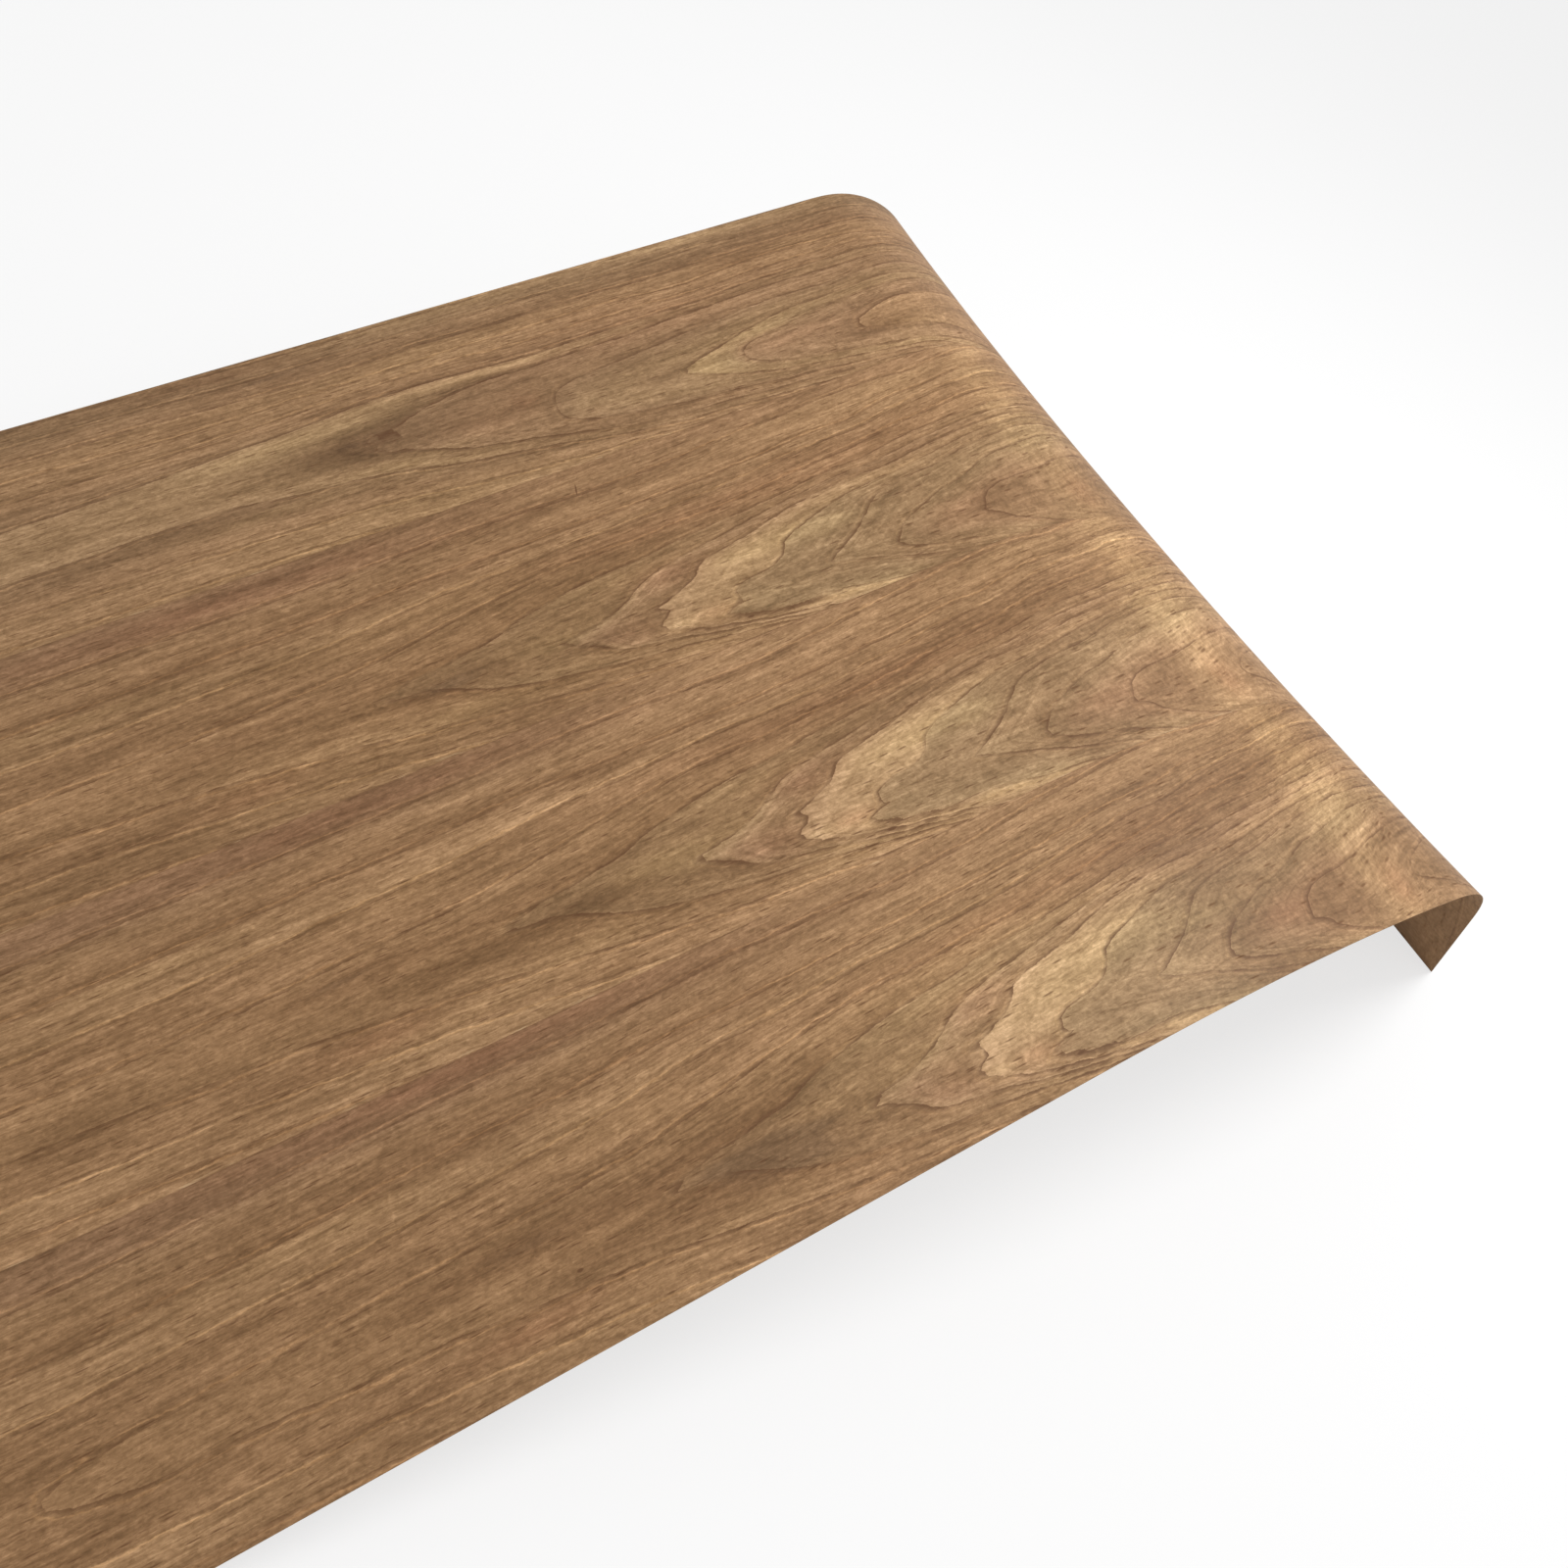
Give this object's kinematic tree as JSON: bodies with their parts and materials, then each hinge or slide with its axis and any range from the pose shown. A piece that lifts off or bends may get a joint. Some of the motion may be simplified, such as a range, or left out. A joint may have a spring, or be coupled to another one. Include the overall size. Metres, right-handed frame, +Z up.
{
  "type": "wood veneer sheet",
  "caption": "Thin sheet of slip-matched walnut veneer lying face up, with one end that keeps the bend of its roll and stands on its end edge",
  "frame": {"origin": "centre of the sheet's footprint, on the floor that it lies on", "axes": "+X runs along the grain from the flat end to the standing end, +Y across the leaves from the slack long edge to the tight one, +Z up"},
  "size_m": [1.1325, 0.61, 0.168],
  "materials": {
    "walnut_veneer": "sliced and sanded raw walnut, figured, with open pores and a low silky sheen"
  },
  "bodies": {
    "root": {"veneer_sheet": "walnut_veneer"}
  },
  "joints": []
}
